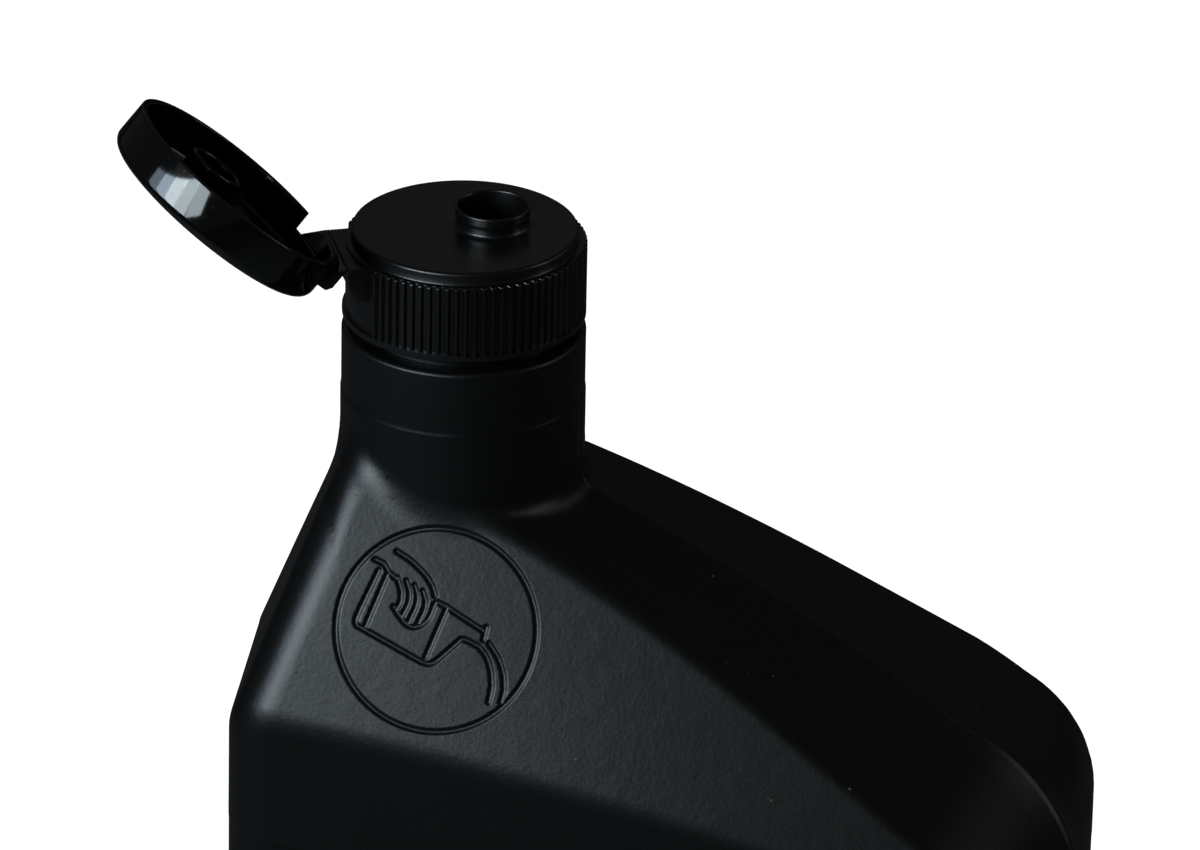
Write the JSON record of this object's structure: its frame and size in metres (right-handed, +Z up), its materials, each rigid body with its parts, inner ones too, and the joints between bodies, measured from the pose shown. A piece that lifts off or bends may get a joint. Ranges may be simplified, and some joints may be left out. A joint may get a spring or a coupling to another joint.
{
  "type": "tire sealant bottle",
  "caption": "Offset-neck blow-moulded sealant bottle with a screw-on flip-top closure, pouring spout and open lid.",
  "frame": {"origin": "middle of the foot, on the plane that the bottle stands on", "axes": "+Z up, +X towards the long end of the roof, away from the neck; the front with the pouring sign looks to -Y"},
  "size_m": [0.1643, 0.0784, 0.2799],
  "materials": {
    "bottle_plastic": "satin, fine grain",
    "closure_plastic": "smooth, semi-gloss",
    "gasket_foam": "soft foam"
  },
  "bodies": {
    "bottle": {"bottle": "bottle_plastic"},
    "gasket": {"cap_gasket": "gasket_foam"},
    "cap": {"flip_cap": "closure_plastic"},
    "lid": {"flip_lid": "closure_plastic"}
  },
  "joints": [
    {"name": "cap_lift", "type": "slide", "parent": "bottle", "child": "gasket", "axis": [0, 0, 1], "range_m": [0, 0.0064]},
    {"name": "cap_turn", "type": "hinge", "parent": "gasket", "child": "cap", "pos_m": [-0.036, 0, 0.255], "axis": [0, 0, 1], "range_deg": [0, 540]},
    {"name": "lid_hinge", "type": "hinge", "parent": "cap", "child": "lid", "pos_m": [-0.05537, -0.0097, 0.25272], "axis": [0.4478, -0.8942, 0], "range_deg": [-139.9, 25]}
  ],
  "couplings": [
    {"joint": "cap_lift", "follows": "cap_turn", "m_per_rad": 0.00067322}
  ]
}
